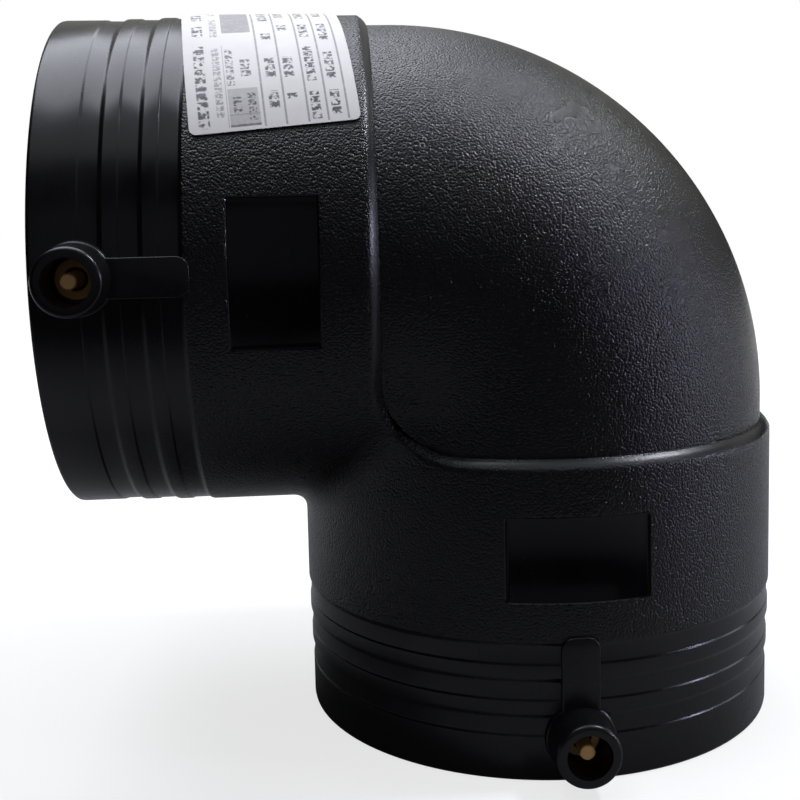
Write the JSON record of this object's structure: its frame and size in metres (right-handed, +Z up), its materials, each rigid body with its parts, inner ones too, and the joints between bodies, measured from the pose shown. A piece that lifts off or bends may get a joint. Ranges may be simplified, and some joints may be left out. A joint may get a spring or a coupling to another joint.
{
  "type": "electrofusion elbow",
  "caption": "Right-angle electrofusion pipe elbow: black moulded sockets with heating wire in the bores, shrouded brass terminals and a plain printed label.",
  "frame": {"origin": "under the middle of the part, on the plane of the lower socket's mouth, which it stands on", "axes": "+Z up along the lower socket's axis, -X along the left socket's axis towards its mouth, -Y out of the terminals"},
  "size_m": [0.2034, 0.151, 0.2039],
  "materials": {
    "body": "satin, with a fine moulded grain",
    "wire": "drawn",
    "terminals": "turned",
    "label": "satin film"
  },
  "bodies": {
    "root": {"elbow_body": "body", "heating_wire": "wire", "terminal_pin_left": "terminals", "terminal_pin_lower": "terminals", "label": "label"}
  },
  "joints": []
}
